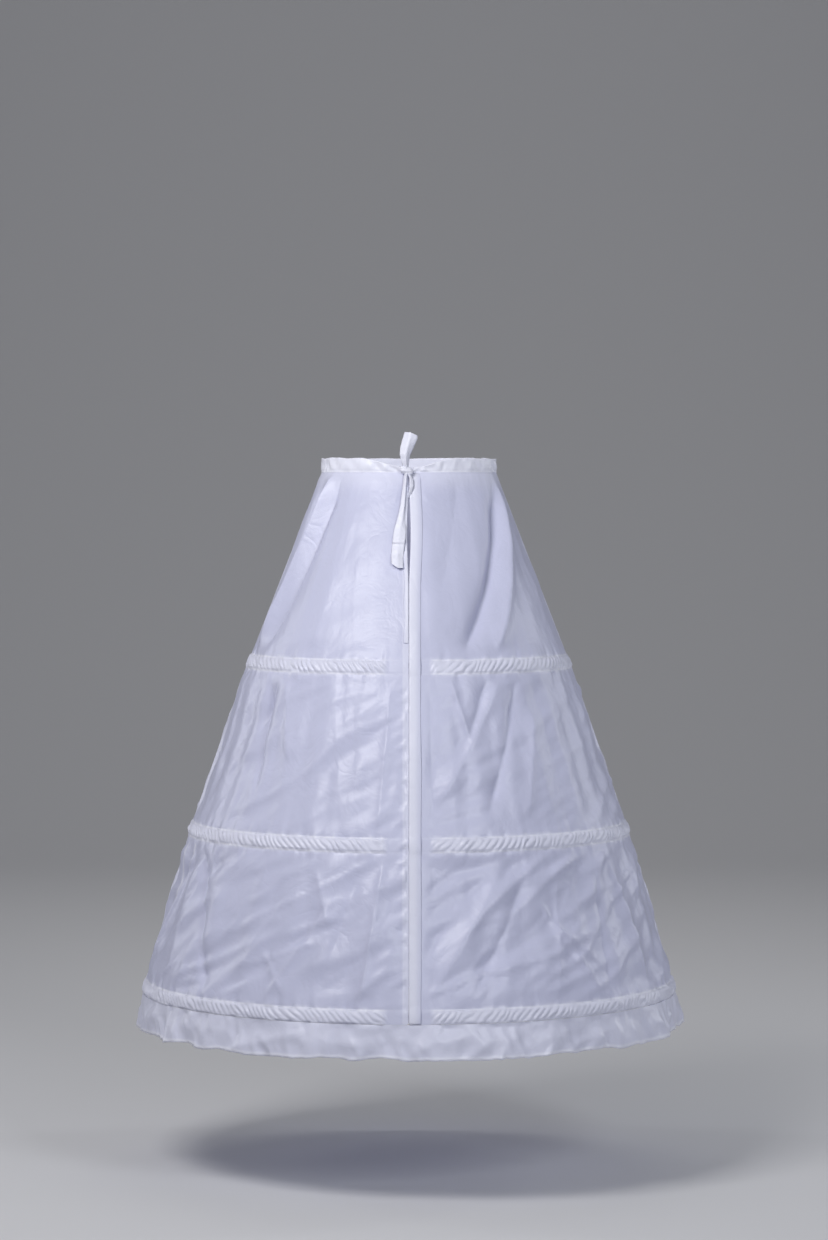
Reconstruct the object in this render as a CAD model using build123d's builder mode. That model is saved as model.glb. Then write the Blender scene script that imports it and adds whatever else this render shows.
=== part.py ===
from build123d import *
import os
from math import asin, cos, degrees, dist, hypot, pi, radians, sin, tau

# A hooped petticoat, seen from the back along +Y. The wearer faces +Y, and the origin is the
# middle of the waist, half way up the waistband. All lengths are in millimetres.

# Waist
waist_half_width = 145.0
waist_half_depth = 108.0
band_height = 25.0
band_thickness = 5.0
band_opening = 10.0
dip_depth = 15.0
dip_half_width = 78.0

# Skirt: the radius of the cloth at each hoop, and how far the hoop hangs below the waist
upper_hoop_radius = 266.0
upper_hoop_drop = 323.0
middle_hoop_radius = 363.0
middle_hoop_drop = 600.0
lower_hoop_radius = 440.0
lower_hoop_drop = 862.0
hem_radius = 452.0
flounce_drop = 68.0

# Cloth and seams
cloth = 0.8
seam_gap = 0.3
slit_length = 274.0
slit_spread = 2.0
strip_width = 20.0
binding_width = 9.0

# Hoop channels
channel_height = 22.0
channel_stop = 31.0
seam_stop = 4.0
gather_pitch = 30.0
gather_crest = 3.8
gather_trough = 1.0
ledge = 0.8

# Hoops, their joiners and the tapes that close the channels
hoop_width = 8.0
hoop_thickness = 1.4
hoop_end_gap = 2.0
joiner_length = 32.0
joiner_wall = 0.6
joiner_clearance = 0.15
tape = 0.6

# Flounce
wave_depth = 5.0
wave_length = 178.0

# Drawstring and its tie
string_height = 7.0
string_thickness = 2.0
knot_half_length = 8.5
knot_radius = 5.5
ribbon_width = 20.0
ribbon = 1.2
upper_tail_length = 64.0
lower_tail_length = 167.0

# Flat facets round a quarter of the skirt, and points round each wave of the flounce
quarter_facets = 14
wave_points = 8

# Puckers of the channels: how far they lean and how much is left of them at a row of stitches, in
# shares of half a pleat, and how many half pleats they take to lean over
lean_share = 0.7
pinch_share = 0.6
run_in_pleats = 4

# Levels through each tier of cloth, from its top to its bottom
level_shares = [[0.0, 0.35, 1.0], [0.0, 1.0], [0.0, 1.0]]

# How much of the slit gapes, how the waistband dips to the tie, how the flounce's waves start, how
# the knot rounds off, and the tie's two tails: how far along each section is, how far aside, how wide
slit_gape_share = 0.7
dip_flat_share = 0.4
dip_round_share = 0.3
top_wave_share = 0.5
knot_end_share = 0.6
upper_tail_shares = [(0.04, 0, 0.3), (0.28, -0.06, 0.45), (0.68, 0.2, 0.95), (1, 0.3, 0.6)]
lower_tail_shares = [(0.015, 0, 0.3), (0.22, -0.35, 0.5), (0.5, -0.6, 0.7), (0.78, -0.8, 0.9)]
lower_tail_shares.append((1, -0.95, 1))

# Places that follow from the sizes above
quarter = 90
front = 90
back = 270
band_bottom = -band_height / 2
hem_drop = lower_hoop_drop + flounce_drop
waist_radius = (waist_half_width + waist_half_depth) / 2
radii = [waist_radius, upper_hoop_radius, middle_hoop_radius, lower_hoop_radius, hem_radius]
drops = [band_height / 2, upper_hoop_drop, middle_hoop_drop, lower_hoop_drop, hem_drop]
slopes = [(r2 - r1) / (d2 - d1) for r1, r2, d1, d2 in zip(radii, radii[1:], drops, drops[1:])]
hoop_names = ["upper", "middle", "lower"]
slit_bottom = band_bottom - slit_length
string_bottom = band_bottom + cloth + seam_gap
knot_level = string_bottom + string_height / 2
knot_depth = waist_half_depth + seam_gap + knot_radius
tail_standoff = seam_gap + cloth + seam_gap + ribbon / 2
hoop_seat = joiner_wall + joiner_clearance
joiner_width = hoop_width + 2 * hoop_seat
joiner_thickness = hoop_thickness + 2 * hoop_seat


class Channel:
    """The cone of cloth round one hoop."""

    def __init__(self, hoop):
        self.radius = radii[hoop]
        self.level = -drops[hoop]
        self.slope = (slopes[hoop - 1] + slopes[hoop]) / 2
        self.run = hypot(1, self.slope)
        self.top = self.level + channel_height / 2
        self.bottom = self.level - channel_height / 2
        facet_sag = self.radius * (1 - cos(radians(quarter / quarter_facets / 2)))
        self.seat = cloth + seam_gap + facet_sag

    def radius_at(self, z):
        return self.radius + self.slope * (self.level - z)

    def profile_plane(self, angle):
        """The plane of a hoop's section: x down the cloth, y into the skirt, just inside the cloth."""
        outward = Vector(cos(radians(angle)), sin(radians(angle)), 0)
        around = Vector(-sin(radians(angle)), cos(radians(angle)), 0)
        down = (outward * self.slope - Vector(0, 0, 1)) * (1 / self.run)
        origin = outward * (self.radius - self.seat) + Vector(0, 0, self.level)
        return Plane(origin=origin, x_dir=down, z_dir=around)


channels = [Channel(hoop) for hoop in (1, 2, 3)]
tier_tops = [band_bottom - seam_gap] + [channel.bottom for channel in channels]
tier_levels = []
for shares, top, channel in zip(level_shares, tier_tops, channels):
    tier_levels.append([top + (channel.top - top) * share for share in shares])


def half_axes(z):
    """The half width and half depth of the cloth's outer face at a level."""
    first = channels[0]
    if z > first.top:
        share = (first.top - z) / (first.top - band_bottom)
        end = first.radius_at(first.top)
        return (end + share * (waist_half_width - end), end + share * (waist_half_depth - end))
    for channel in channels:
        if channel.bottom <= z <= channel.top:
            radius = channel.radius_at(z)
            return (radius, radius)
    for above, below in zip(channels, channels[1:]):
        if below.top < z < above.bottom:
            share = (above.bottom - z) / (above.bottom - below.top)
            start = above.radius_at(above.bottom)
            radius = start + share * (below.radius_at(below.top) - start)
            return (radius, radius)
    raise ValueError("no cloth at this level")


def on_cloth(angle, z, out=0.0):
    """A point beside the cloth's outer face, in the plane of its level."""
    half_width, half_depth = half_axes(z)
    return ((half_width + out) * cos(radians(angle)), (half_depth + out) * sin(radians(angle)))


def back_edge(z):
    """How far the edge of a back panel stands from the centre back."""
    share = (band_bottom - z) / (slit_length * slit_gape_share)
    if share >= 1:
        return seam_gap / 2
    return seam_gap / 2 + slit_spread * sin(pi * share) ** 2


def side_turn(z):
    return degrees(asin(seam_gap / 2 / half_axes(z)[1]))


def front_turn(z):
    return degrees(asin(seam_gap / 2 / half_axes(z)[0]))


def back_turn(z, from_middle=0.0):
    return degrees(asin((back_edge(z) + from_middle) / half_axes(z)[0]))


def facet_points(z, edges, out):
    """The corners of a panel's facets at a level, from edge to edge."""
    start, end = edges(z)
    turns = [start + (end - start) * step / quarter_facets for step in range(quarter_facets + 1)]
    return [on_cloth(turn, z, out) for turn in turns]


def level_ring(z, outer, inner):
    """Cloth cut at a level: the points of its outer side and back along its inner side."""
    return [(x, y, z) for x, y in outer + inner[::-1]]


def faceted(rings):
    """Cloth between level rings of points, as a solid closed by flat triangles."""
    faces = [Face(Wire.make_polygon(rings[0])), Face(Wire.make_polygon(rings[-1]))]
    for upper, lower in zip(rings, rings[1:]):
        corners = list(zip(upper, lower))
        for (top, bottom), (next_top, next_bottom) in zip(corners, corners[1:] + corners[:1]):
            halves = [(top, bottom, next_top), (bottom, next_bottom, next_top)]
            if dist(top, next_bottom) < dist(bottom, next_top):
                halves = [(top, bottom, next_bottom), (top, next_bottom, next_top)]
            faces.extend(Face(Wire.make_polygon(half)) for half in halves)
    return Solid(Shell(faces))


def tier_cloth(levels, edges):
    """The cloth of one panel between two hoops."""
    rings = [level_ring(z, facet_points(z, edges, 0), facet_points(z, edges, -cloth)) for z in levels]
    return faceted(rings)


def plain_points(edge, gathers, turn, z):
    """Points on the plain cloth of a channel, from a panel's edge up to the first pucker."""
    count = max(1, round((gathers - edge) / turn))
    return [on_cloth(edge + (gathers - edge) * step / count, z, ledge) for step in range(count)]


def channel_cloth(channel, edges, stops, lean):
    """The gathered cloth over one hoop: slanting puckers between two rows of stitches."""
    rings = []
    start, end = edges(channel.level)
    first = start + degrees(stops[0] / channel.radius)
    last = end - degrees(stops[1] / channel.radius)
    pleats = 2 * round(radians(last - first) * channel.radius / gather_pitch)
    half_pleat = (last - first) / pleats
    for z, row in ((channel.top, -1), (channel.level, 0), (channel.bottom, 1)):
        row_start, row_end = edges(z)
        crest = gather_trough + (gather_crest - gather_trough) * (pinch_share if row else 1)
        outer = plain_points(row_start, first, half_pleat, z)
        for step in range(pleats + 1):
            slant = lean * row * min(1, step / run_in_pleats, (pleats - step) / run_in_pleats)
            puff = crest if step % 2 else gather_trough
            raised = 0 < step < pleats
            outer.append(on_cloth(first + half_pleat * (step + slant), z, puff if raised else ledge))
        outer.extend(reversed(plain_points(row_end, last, -half_pleat, z)))
        rings.append(level_ring(z, outer, facet_points(z, edges, -cloth)))
    return faceted(rings)


def front_right_edges(z):
    return side_turn(z), front - front_turn(z)


def front_left_edges(z):
    return front + front_turn(z), 180 - side_turn(z)


def back_left_edges(z):
    return 180 + side_turn(z), back - back_turn(z)


def back_right_edges(z):
    return back + back_turn(z), 360 - side_turn(z)


def panel(edges, stops, lean):
    """One quarter of the skirt: plain tiers and the gathered channels between them."""
    cloths = [tier_cloth(levels, edges) for levels in tier_levels]
    for channel in channels:
        cloths.append(channel_cloth(channel, edges, stops, lean))
    return cloths[0].fuse(*cloths[1:])


def strip_sections(levels, width, side, standoff):
    """Level sections through a strip of cloth laid on a back panel, along the centre back."""
    sections = []
    for z in levels:
        angles = [back + side * back_turn(z, width * share) for share in (0, 0.5, 1)]
        inner = [on_cloth(angle, z, standoff) for angle in angles]
        outer = [on_cloth(angle, z, standoff + cloth) for angle in reversed(angles)]
        with BuildSketch(Plane.XY.offset(z)) as section:
            with BuildLine():
                ThreePointArc(*inner)
                Line(inner[-1], outer[0])
                ThreePointArc(*outer)
                Line(outer[-1], inner[0])
            make_face()
        sections.append(section.sketch.face())
    return sections


def dip_face(top):
    """The part of the waistband's height that the tie pulls down, as a face across the back."""
    with BuildSketch(Plane.XZ) as face:
        with BuildLine():
            for side in (-1, 1):
                Bezier(
                    (side * dip_half_width, top),
                    (side * dip_half_width * dip_flat_share, top),
                    (side * dip_half_width * dip_round_share, top - dip_depth),
                    (0, top - dip_depth),
                )
            Polyline(
                (-dip_half_width, top),
                (-dip_half_width, top + dip_depth),
                (dip_half_width, top + dip_depth),
                (dip_half_width, top),
            )
        make_face()
    return face.sketch.face()


def flounce_quarter(start):
    """A quarter of the flounce, whose waves grow towards the hem."""
    lowest = channels[-1]
    count = wave_points * round(radians(quarter) * hem_radius / wave_length)
    top_place = (lowest.bottom - seam_gap, lowest.radius_at(lowest.bottom), wave_depth * top_wave_share)
    rings = []
    for z, radius, depth in (top_place, (-hem_drop, hem_radius, wave_depth)):
        sides = []
        for inset in (0, cloth):
            points = []
            for step in range(count + 1):
                turn = radians(start + quarter * step / count)
                reach = radius - inset + depth * sin(tau * step / wave_points)
                points.append((reach * cos(turn), reach * sin(turn)))
            sides.append(points)
        rings.append(level_ring(z, *sides))
    return faceted(rings)


def tape_quarter(channel, start, first_facet, last_facet):
    """A quarter of a casing tape: its two edges lie on the cloth and its middle passes the hoop."""
    edge_drop = channel_height / 2 - seam_gap
    floor_drop = joiner_width / 2 + seam_gap
    edge_inset = cloth + seam_gap
    floor_inset = channel.seat + joiner_thickness * channel.run + seam_gap
    places = [(-edge_drop, edge_inset), (-floor_drop, floor_inset)]
    places.extend([(floor_drop, floor_inset), (edge_drop, edge_inset)])
    turns = [start + quarter * step / quarter_facets for step in range(first_facet, last_facet + 1)]
    rings = []
    for drop, inset in places:
        z = channel.level - drop
        outer = [on_cloth(turn, z, -inset) for turn in turns]
        inner = [on_cloth(turn, z, -inset - tape) for turn in turns]
        rings.append(level_ring(z, outer, inner))
    return faceted(rings)


def waist_face(reach, thickness):
    """A level oval ring of cloth, its outer side at a distance outside the waist's outline."""
    turns = [radians(quarter * step / quarter_facets) for step in range(4 * quarter_facets)]
    with BuildSketch() as face:
        for out, mode in ((reach, Mode.ADD), (reach - thickness, Mode.SUBTRACT)):
            half_width = waist_half_width + out
            half_depth = waist_half_depth + out
            with BuildLine():
                Polyline([(half_width * cos(turn), half_depth * sin(turn)) for turn in turns], close=True)
            make_face(mode=mode)
    return face.sketch


def tail_sections(places):
    """Sections through a flat tail of the tie: level, sideways place, distance back and width of each."""
    sections = []
    for z, x, depth, width in places:
        with BuildSketch(Plane(origin=(x, -depth, z))) as section:
            Rectangle(width, ribbon)
        sections.append(section.sketch.face())
    return sections


# Front gores, from the centre front seam to the side seams
with BuildPart() as front_panel_right:
    add(panel(front_right_edges, (seam_stop, seam_stop), -lean_share))

with BuildPart() as front_panel_left:
    add(panel(front_left_edges, (seam_stop, seam_stop), lean_share))

# Back gores, from the side seams to the slit and the centre back seam
with BuildPart() as back_panel_left:
    add(panel(back_left_edges, (seam_stop, channel_stop), lean_share))

with BuildPart() as back_panel_right:
    add(panel(back_right_edges, (channel_stop, seam_stop), -lean_share))

# Felled strip down the right side of the slit and of the centre back seam
seam_levels = [level for channel in channels for level in (channel.top, channel.bottom)]
with BuildPart() as back_seam_strip:
    loft(strip_sections(tier_levels[0][:-1] + seam_levels, strip_width, 1, ledge + seam_gap), ruled=True)

# Binding of the slit's left edge
slit_levels = [level for level in tier_levels[0] if level > slit_bottom] + [slit_bottom]
with BuildPart() as placket_binding:
    loft(strip_sections(slit_levels, binding_width, -1, seam_gap), ruled=True)

# The hollow of the waistband, which the drawstring runs in
with BuildPart() as band_core:
    with BuildSketch(Plane.XY.offset(band_bottom + cloth)):
        add(waist_face(-cloth, band_thickness - 2 * cloth))
    extrude(amount=band_height - 2 * cloth)
    extrude(dip_face(band_height / 2 - cloth), amount=waist_half_depth, mode=Mode.SUBTRACT)

# Waistband: a flat tube of cloth, open at the centre back and pulled down there by the tie
with BuildPart() as waistband:
    with BuildSketch(Plane.XY.offset(band_bottom)):
        add(waist_face(0, band_thickness))
    extrude(amount=band_height)
    extrude(dip_face(band_height / 2), amount=waist_half_depth, mode=Mode.SUBTRACT)
    add(band_core.part, mode=Mode.SUBTRACT)
    with BuildSketch(Plane.XY.offset(band_bottom)):
        with Locations((0, -waist_half_depth)):
            Rectangle(band_opening, waist_half_depth)
    extrude(amount=band_height, mode=Mode.SUBTRACT)

# Drawstring: a loop inside the waistband, its knot at the centre back and two flat tails
with BuildPart() as drawstring:
    with BuildSketch(Plane.XY.offset(string_bottom)):
        add(waist_face((string_thickness - band_thickness) / 2, string_thickness))
        neck_start = waist_half_depth - band_thickness / 2
        with Locations((0, -(neck_start + knot_depth) / 2)):
            Rectangle(band_opening - 2 * string_thickness, knot_depth - neck_start)
    extrude(amount=string_height)
    with BuildSketch(Plane(origin=(0, -knot_depth, knot_level))):
        with BuildLine():
            knot_end = knot_radius * knot_end_share
            shoulder = knot_half_length * knot_end_share
            Polyline(
                (-knot_half_length, 0),
                (-knot_half_length, knot_end),
                (-shoulder, knot_radius),
                (shoulder, knot_radius),
                (knot_half_length, knot_end),
                (knot_half_length, 0),
                close=True,
            )
        make_face()
    revolve(axis=Axis((0, -knot_depth, knot_level), (1, 0, 0)))
    upper_places = []
    for rise_share, aside_share, width_share in upper_tail_shares:
        rise = upper_tail_length * rise_share
        upper_places.append(
            (knot_level + rise, ribbon_width * aside_share, knot_depth, ribbon_width * width_share)
        )
    loft(tail_sections(upper_places), ruled=True)
    lower_places = []
    for fall_share, aside_share, width_share in lower_tail_shares:
        z = knot_level - lower_tail_length * fall_share
        depth = max(knot_depth, half_axes(z)[1] + tail_standoff)
        lower_places.append((z, ribbon_width * aside_share, depth, ribbon_width * width_share))
    loft(tail_sections(lower_places), ruled=True)

# Flounce below the lowest hoop
with BuildPart() as hem_flounce:
    flounces = [flounce_quarter(start) for start in (0, front, 2 * front, back)]
    add(flounces[0].fuse(*flounces[1:]))

pieces = {
    "front_panel_left": front_panel_left,
    "front_panel_right": front_panel_right,
    "back_panel_left": back_panel_left,
    "back_panel_right": back_panel_right,
    "back_seam_strip": back_seam_strip,
    "placket_binding": placket_binding,
    "waistband": waistband,
    "drawstring": drawstring,
    "hem_flounce": hem_flounce,
}

# In each channel: a flat hoop, the sleeve that joins its ends at the centre front, and the tape
# that is sewn inside the skirt to close the channel
for name, channel in zip(hoop_names, channels):
    with BuildPart() as hoop:
        gap_turn = degrees(hoop_end_gap / channel.radius)
        with BuildSketch(channel.profile_plane(front + gap_turn / 2)):
            with Locations((0, joiner_thickness / 2)):
                Rectangle(hoop_width, hoop_thickness)
        revolve(axis=Axis.Z, revolution_arc=360 - gap_turn)

    with BuildPart() as joiner:
        joiner_turn = degrees(joiner_length / channel.radius)
        with BuildSketch(channel.profile_plane(front - joiner_turn / 2)):
            with Locations((0, joiner_thickness / 2)):
                Rectangle(joiner_width, joiner_thickness)
                bore = 2 * joiner_clearance
                Rectangle(hoop_width + bore, hoop_thickness + bore, mode=Mode.SUBTRACT)
        revolve(axis=Axis.Z, revolution_arc=joiner_turn)

    with BuildPart() as casing:
        tapes = [tape_quarter(channel, back, 1, quarter_facets)]
        tapes.append(tape_quarter(channel, 0, 0, quarter_facets))
        tapes.append(tape_quarter(channel, front, 0, quarter_facets))
        tapes.append(tape_quarter(channel, 2 * front, 0, quarter_facets - 1))
        add(tapes[0].fuse(*tapes[1:]))

    pieces[f"hoop_{name}"] = hoop
    pieces[f"hoop_joiner_{name}"] = joiner
    pieces[f"casing_tape_{name}"] = casing

os.makedirs("parts", exist_ok=True)
for name, piece in pieces.items():
    piece.part.label = name
    export_step(piece.part, f"parts/{name}.step")
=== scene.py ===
import math
import bmesh
import bpy
import numpy as np
from mathutils import Matrix, Vector


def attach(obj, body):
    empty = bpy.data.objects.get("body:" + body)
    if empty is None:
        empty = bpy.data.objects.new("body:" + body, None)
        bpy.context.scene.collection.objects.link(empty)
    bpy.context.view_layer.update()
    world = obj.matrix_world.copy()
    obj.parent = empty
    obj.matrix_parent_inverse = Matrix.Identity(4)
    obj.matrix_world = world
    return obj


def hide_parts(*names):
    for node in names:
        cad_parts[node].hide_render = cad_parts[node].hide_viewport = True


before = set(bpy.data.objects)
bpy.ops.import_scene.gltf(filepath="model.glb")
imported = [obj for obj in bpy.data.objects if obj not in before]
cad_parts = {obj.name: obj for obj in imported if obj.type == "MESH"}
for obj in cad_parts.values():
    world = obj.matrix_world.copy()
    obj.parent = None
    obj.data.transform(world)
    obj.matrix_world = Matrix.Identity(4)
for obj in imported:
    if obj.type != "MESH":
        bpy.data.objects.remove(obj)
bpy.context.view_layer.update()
print("frame loaded,", len(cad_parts), "nodes")

# the cloth's outline from the waist to the hem, in metres
skirt = {
    "levels": np.array([0.0125, -0.0128, -0.312, -0.334, -0.589, -0.611, -0.851, -0.873, -0.930]),
    "halfWidths": np.array([0.145, 0.145, 0.2616, 0.2704, 0.3595, 0.3665, 0.4374, 0.4426, 0.452]),
    "halfDepths": np.array([0.108, 0.108, 0.2616, 0.2704, 0.3595, 0.3665, 0.4374, 0.4426, 0.452]),
    "channels": [(-0.312, -0.334), (-0.589, -0.611), (-0.851, -0.873)],
    "tiers": [(-0.0114, -0.312), (-0.334, -0.589), (-0.611, -0.851)],
    "slitTop": -0.0125,
    "slitOpening": 0.192,  # the length that gapes
    "slitGape": 0.0026,
    "seamGap": 0.00015,
}


def halfAxes(z):
    down = -skirt["levels"]
    return np.interp(-z, down, skirt["halfWidths"]), np.interp(-z, down, skirt["halfDepths"])


def flare(z):  # how much the cloth widens for each metre down
    step = 0.004
    above, below = halfAxes(z + step)[0], halfAxes(z - step)[0]
    return (below - above) / (2 * step)


def onCloth(turn, z, out=0.0):  # a place beside the cloth, turn in radians
    halfWidth, halfDepth = halfAxes(z)
    lean = flare(z)
    run = np.sqrt(1 + lean * lean)
    x = halfWidth * np.cos(turn) + out * np.cos(turn) / run
    y = halfDepth * np.sin(turn) + out * np.sin(turn) / run
    return np.stack((x, y, z + out * lean / run), axis=-1)


def slitEdge(z):  # how far the cloth stands from the centre back
    share = np.clip((skirt["slitTop"] - z) / skirt["slitOpening"], 0, 1)
    return skirt["seamGap"] + skirt["slitGape"] * np.sin(np.pi * share) ** 2


def smoothStep(low, high, value):
    share = np.clip((value - low) / (high - low), 0, 1)
    return share * share * (3 - 2 * share)


noiseTables = {}
noiseSide = 64  # the noise repeats after this many cells


def latticeNoise(x, y, seed):  # smooth noise from -1 to 1, one cell to each unit of x and y
    if seed not in noiseTables:
        noiseTables[seed] = np.random.RandomState(seed).uniform(-1, 1, (noiseSide, noiseSide))
    table = noiseTables[seed]
    x, y = np.broadcast_arrays(np.asarray(x, float), np.asarray(y, float))
    column, row = np.floor(x).astype(int), np.floor(y).astype(int)
    across, along = x - column, y - row
    across = across * across * (3 - 2 * across)
    along = along * along * (3 - 2 * along)
    left, right = column % noiseSide, (column + 1) % noiseSide
    top, bottom = row % noiseSide, (row + 1) % noiseSide
    upper = table[top, left] * (1 - across) + table[top, right] * across
    lower = table[bottom, left] * (1 - across) + table[bottom, right] * across
    return upper * (1 - along) + lower * along


def readPlaces(mesh):
    flat = np.empty(len(mesh.vertices) * 3)
    mesh.vertices.foreach_get("co", flat)
    return flat.reshape(-1, 3)


def writePlaces(mesh, places):
    mesh.vertices.foreach_set("co", np.ascontiguousarray(places).ravel())
    mesh.update()


def writeUnrolled(mesh, across, down):  # the cloth laid flat, in metres
    layer = mesh.uv_layers.new(name="laidFlat")
    corners = np.empty(len(mesh.loops), dtype=np.int32)
    mesh.loops.foreach_get("vertex_index", corners)
    layer.data.foreach_set("uv", np.column_stack((across[corners], down[corners])).ravel())


def writeLayers(mesh, layers):  # 0 where the cloth is single, 1 where it is doubled
    attribute = mesh.attributes.new("doubled", "FLOAT", "POINT")
    attribute.data.foreach_set("value", np.clip(layers, 0, 1).astype(np.float32))


def fixOrder(bm):  # spin leaves another order each run, and the cloth simulation follows it
    for parts, rankBy in (
        (bm.verts, lambda vert: tuple(vert.co)),
        (bm.edges, lambda edge: sorted(vert.index for vert in edge.verts)),
        (bm.faces, lambda face: sorted(vert.index for vert in face.verts)),
    ):
        for rank, part in enumerate(sorted(parts, key=rankBy)):
            part.index = rank
        parts.sort()


def addPiece(name, bm, finish, nodes=()):
    fixOrder(bm)
    mesh = bpy.data.meshes.new(name)
    bm.to_mesh(mesh)
    bm.free()
    mesh.materials.append(finish)
    mesh.polygons.foreach_set("use_smooth", [True] * len(mesh.polygons))
    piece = bpy.data.objects.new(name, mesh)
    bpy.context.collection.objects.link(piece)
    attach(piece, "root")
    if nodes:
        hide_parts(*nodes)
    return piece


def applyModifiers(piece):
    graph = bpy.context.evaluated_depsgraph_get()
    made = bpy.data.meshes.new_from_object(piece.evaluated_get(graph), depsgraph=graph)
    old = piece.data
    piece.modifiers.clear()
    piece.data = made
    bpy.data.meshes.remove(old)
    made.name = piece.name


def addThickness(piece, thickness, offset=-1.0):
    modifier = piece.modifiers.new("clothThickness", "SOLIDIFY")
    modifier.thickness = thickness
    modifier.offset = offset


def addRounding(piece, levels):
    modifier = piece.modifiers.new("softening", "SUBSURF")
    modifier.levels = levels
    modifier.render_levels = levels


# shader node groups
def newGroup(name, inputs, outputs):
    group = bpy.data.node_groups.new(name, "ShaderNodeTree")
    for socketName, kind, value in inputs:
        socket = group.interface.new_socket(socketName, in_out="INPUT", socket_type=kind)
        socket.default_value = value
    for socketName, kind in outputs:
        group.interface.new_socket(socketName, in_out="OUTPUT", socket_type=kind)
    return group, group.nodes.new("NodeGroupInput"), group.nodes.new("NodeGroupOutput")


def makeWeave():  # fine ribs across the cloth with a few thicker threads, as a height
    inputs = [("Ribs", "NodeSocketFloat", 900.0), ("Slub", "NodeSocketFloat", 0.5)]
    group, given, result = newGroup("taffetaWeave", inputs, [("Height", "NodeSocketFloat")])
    links = group.links
    place = group.nodes.new("ShaderNodeUVMap")
    place.uv_map = "laidFlat"
    ribs = group.nodes.new("ShaderNodeTexWave")
    ribs.bands_direction = "Y"
    ribs.inputs["Distortion"].default_value = 0.6
    ribs.inputs["Detail"].default_value = 1.0
    stretch = group.nodes.new("ShaderNodeMapping")
    stretch.inputs["Scale"].default_value = (30.0, 700.0, 1.0)
    threads = group.nodes.new("ShaderNodeTexNoise")
    threads.inputs["Scale"].default_value = 1.0
    threads.inputs["Detail"].default_value = 2.0
    blend = group.nodes.new("ShaderNodeMix")
    links.new(place.outputs["UV"], ribs.inputs["Vector"])
    links.new(given.outputs["Ribs"], ribs.inputs["Scale"])
    links.new(place.outputs["UV"], stretch.inputs["Vector"])
    links.new(stretch.outputs["Vector"], threads.inputs["Vector"])
    links.new(given.outputs["Slub"], blend.inputs["Factor"])
    links.new(ribs.outputs["Fac"], blend.inputs["A"])
    links.new(threads.outputs["Fac"], blend.inputs["B"])
    links.new(blend.outputs["Result"], result.inputs["Height"])
    return group


def makeCrumple():  # the small crisp creases of handled taffeta, as a height
    inputs = [("Size", "NodeSocketFloat", 16.0), ("Fine", "NodeSocketFloat", 60.0)]
    group, given, result = newGroup("clothCrumple", inputs, [("Height", "NodeSocketFloat")])
    links = group.links
    place = group.nodes.new("ShaderNodeTexCoord")
    broad = group.nodes.new("ShaderNodeTexNoise")
    broad.inputs["Detail"].default_value = 3.0
    broad.inputs["Distortion"].default_value = 0.7
    ridge = group.nodes.new("ShaderNodeMath")
    ridge.operation = "SUBTRACT"
    ridge.inputs[1].default_value = 0.5
    crease = group.nodes.new("ShaderNodeMath")
    crease.operation = "ABSOLUTE"
    fine = group.nodes.new("ShaderNodeTexNoise")
    fine.inputs["Detail"].default_value = 2.0
    both = group.nodes.new("ShaderNodeMath")
    both.operation = "MULTIPLY_ADD"
    both.inputs[1].default_value = 0.16
    links.new(place.outputs["Object"], broad.inputs["Vector"])
    links.new(given.outputs["Size"], broad.inputs["Scale"])
    links.new(place.outputs["Object"], fine.inputs["Vector"])
    links.new(given.outputs["Fine"], fine.inputs["Scale"])
    links.new(broad.outputs["Fac"], ridge.inputs[0])
    links.new(ridge.outputs["Value"], crease.inputs[0])
    links.new(fine.outputs["Fac"], both.inputs[0])
    links.new(crease.outputs["Value"], both.inputs[2])
    links.new(both.outputs["Value"], result.inputs["Height"])
    return group


weaveGroup = makeWeave()
crumpleGroup = makeCrumple()


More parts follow.
